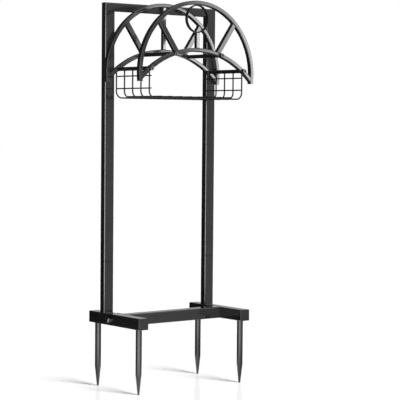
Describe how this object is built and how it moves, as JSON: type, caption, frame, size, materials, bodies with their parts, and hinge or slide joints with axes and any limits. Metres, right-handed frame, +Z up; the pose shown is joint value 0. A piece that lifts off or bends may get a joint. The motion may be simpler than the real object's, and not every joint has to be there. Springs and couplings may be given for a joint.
{
  "type": "freestanding hose holder",
  "caption": "Freestanding hose holder: tube uprights on spiked feet carry a front and a rear spoked arch joined by round rods, with a wire basket hung between them.",
  "frame": {"origin": "centre of the bounding box in plan, at the level of the four spike tips", "axes": "+Z up, +Y to the back, where the posts are, +X to the right as seen from the front"},
  "size_m": [0.453, 0.271, 1.1799],
  "materials": {
    "powder_coat": "black semi-gloss powder coat on steel",
    "cap_plastic": "black moulded plastic, slightly shiny",
    "black_oxide_steel": "steel with a black oxide finish, lightly oiled",
    "plated_steel": "zinc-plated steel"
  },
  "bodies": {
    "root": {"foot_left": "powder_coat", "foot_right": "powder_coat", "cross_bar": "powder_coat", "cross_bar_end_plates": "powder_coat", "spike_front_left": "powder_coat", "spike_front_right": "powder_coat", "spike_rear_left": "powder_coat", "spike_rear_right": "powder_coat", "lower_post_left": "powder_coat", "lower_post_right": "powder_coat", "post_sleeves": "powder_coat", "upper_post_left": "powder_coat", "upper_post_right": "powder_coat", "top_bar": "powder_coat", "rear_hoop": "powder_coat", "rear_saddle_arc": "powder_coat", "rear_spoke_left": "powder_coat", "rear_spoke_middle": "powder_coat", "rear_spoke_right": "powder_coat", "front_hoop": "powder_coat", "front_saddle_arc": "powder_coat", "front_spoke_left": "powder_coat", "front_spoke_middle": "powder_coat", "front_spoke_right": "powder_coat", "front_ring": "powder_coat", "hoop_tip_plates": "powder_coat", "rod_upper_left": "powder_coat", "rod_upper_right": "powder_coat", "rod_lower_left": "powder_coat", "rod_lower_right": "powder_coat", "basket_bent_wire_1": "powder_coat", "basket_bent_wire_2": "powder_coat", "basket_bent_wire_3": "powder_coat", "basket_bent_wire_4": "powder_coat", "basket_bent_wire_5": "powder_coat", "basket_side_wires": "powder_coat", "basket_floor_wires": "powder_coat", "foot_end_caps": "cap_plastic", "foot_bolts": "black_oxide_steel", "foot_washers": "black_oxide_steel", "sleeve_screws": "black_oxide_steel", "rod_bolts": "black_oxide_steel", "head_bolts": "black_oxide_steel", "foot_bolt_nuts": "plated_steel", "spike_nuts": "plated_steel", "head_rivet_nuts": "plated_steel"}
  },
  "joints": []
}
